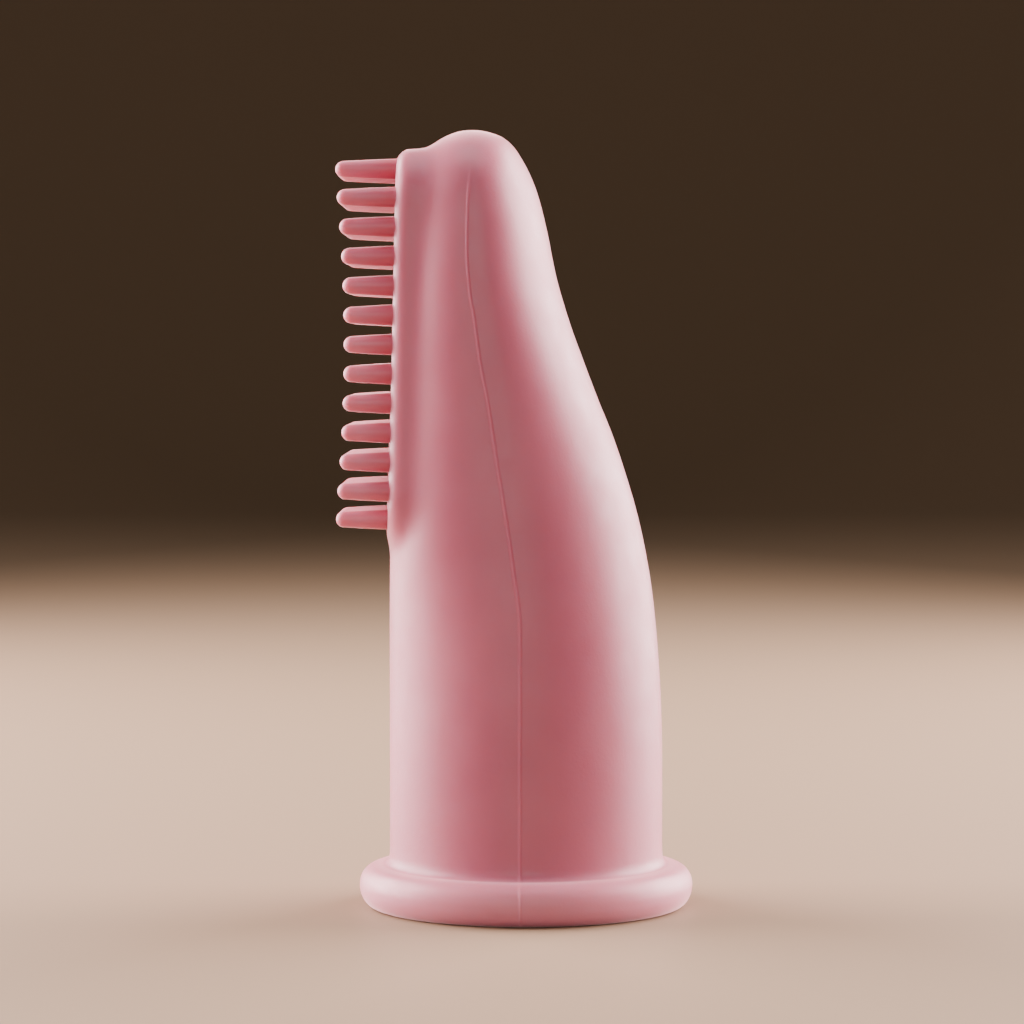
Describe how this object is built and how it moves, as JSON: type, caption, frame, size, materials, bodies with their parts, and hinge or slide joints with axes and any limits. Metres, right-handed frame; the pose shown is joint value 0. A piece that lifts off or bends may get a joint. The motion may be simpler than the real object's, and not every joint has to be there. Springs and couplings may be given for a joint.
{
  "type": "pet toothbrush",
  "caption": "Soft silicone finger toothbrush for a pet: a hollow thimble-shaped sleeve with a rolled rim and a raised pad of short bending bristles.",
  "frame": {"origin": "centre of the finger opening, on the plane the rim rests on", "axes": "+Z from the opening up to the fingertip end, -X the way the bristles point, +X the finger's back, +Y across; the part is the same on both sides of Y = 0"},
  "size_m": [0.0272, 0.0256, 0.0593],
  "materials": {
    "silicone_body": "satin",
    "silicone_bristles": "satin"
  },
  "bodies": {
    "sleeve": {"finger_sleeve": "silicone_body", "base_rim": "silicone_body", "bristle_pad": "silicone_body"},
    "row_01": {"bristle_row_01": "silicone_bristles"},
    "row_02": {"bristle_row_02": "silicone_bristles"},
    "row_03": {"bristle_row_03": "silicone_bristles"},
    "row_04": {"bristle_row_04": "silicone_bristles"},
    "row_05": {"bristle_row_05": "silicone_bristles"},
    "row_06": {"bristle_row_06": "silicone_bristles"},
    "row_07": {"bristle_row_07": "silicone_bristles"},
    "row_08": {"bristle_row_08": "silicone_bristles"},
    "row_09": {"bristle_row_09": "silicone_bristles"},
    "row_10": {"bristle_row_10": "silicone_bristles"},
    "row_11": {"bristle_row_11": "silicone_bristles"},
    "row_12": {"bristle_row_12": "silicone_bristles"},
    "row_13": {"bristle_row_13": "silicone_bristles"}
  },
  "joints": [
    {"name": "row_01_flex", "type": "hinge", "parent": "sleeve", "child": "row_01", "pos_m": [-0.01011, 0, 0.0298], "axis": [0, 1, 0], "range_deg": [-11, 11], "stiffness_Nm_per_rad": 0.0012},
    {"name": "row_02_flex", "type": "hinge", "parent": "sleeve", "child": "row_02", "pos_m": [-0.01006, 0, 0.032], "axis": [0, 1, 0], "range_deg": [-11, 11], "stiffness_Nm_per_rad": 0.002},
    {"name": "row_03_flex", "type": "hinge", "parent": "sleeve", "child": "row_03", "pos_m": [-0.01001, 0, 0.0342], "axis": [0, 1, 0], "range_deg": [-11, 11], "stiffness_Nm_per_rad": 0.002},
    {"name": "row_04_flex", "type": "hinge", "parent": "sleeve", "child": "row_04", "pos_m": [-0.00997, 0, 0.0364], "axis": [0, 1, 0], "range_deg": [-11, 11], "stiffness_Nm_per_rad": 0.002},
    {"name": "row_05_flex", "type": "hinge", "parent": "sleeve", "child": "row_05", "pos_m": [-0.00992, 0, 0.0386], "axis": [0, 1, 0], "range_deg": [-11, 11], "stiffness_Nm_per_rad": 0.002},
    {"name": "row_06_flex", "type": "hinge", "parent": "sleeve", "child": "row_06", "pos_m": [-0.00987, 0, 0.0408], "axis": [0, 1, 0], "range_deg": [-11, 11], "stiffness_Nm_per_rad": 0.002},
    {"name": "row_07_flex", "type": "hinge", "parent": "sleeve", "child": "row_07", "pos_m": [-0.00982, 0, 0.043], "axis": [0, 1, 0], "range_deg": [-11, 11], "stiffness_Nm_per_rad": 0.002},
    {"name": "row_08_flex", "type": "hinge", "parent": "sleeve", "child": "row_08", "pos_m": [-0.00978, 0, 0.0452], "axis": [0, 1, 0], "range_deg": [-11, 11], "stiffness_Nm_per_rad": 0.002},
    {"name": "row_09_flex", "type": "hinge", "parent": "sleeve", "child": "row_09", "pos_m": [-0.00973, 0, 0.0474], "axis": [0, 1, 0], "range_deg": [-11, 11], "stiffness_Nm_per_rad": 0.002},
    {"name": "row_10_flex", "type": "hinge", "parent": "sleeve", "child": "row_10", "pos_m": [-0.00968, 0, 0.0496], "axis": [0, 1, 0], "range_deg": [-11, 11], "stiffness_Nm_per_rad": 0.002},
    {"name": "row_11_flex", "type": "hinge", "parent": "sleeve", "child": "row_11", "pos_m": [-0.00963, 0, 0.0518], "axis": [0, 1, 0], "range_deg": [-11, 11], "stiffness_Nm_per_rad": 0.002},
    {"name": "row_12_flex", "type": "hinge", "parent": "sleeve", "child": "row_12", "pos_m": [-0.00958, 0, 0.054], "axis": [0, 1, 0], "range_deg": [-11, 11], "stiffness_Nm_per_rad": 0.002},
    {"name": "row_13_flex", "type": "hinge", "parent": "sleeve", "child": "row_13", "pos_m": [-0.00954, 0, 0.0562], "axis": [0, 1, 0], "range_deg": [-11, 11], "stiffness_Nm_per_rad": 0.0012}
  ]
}
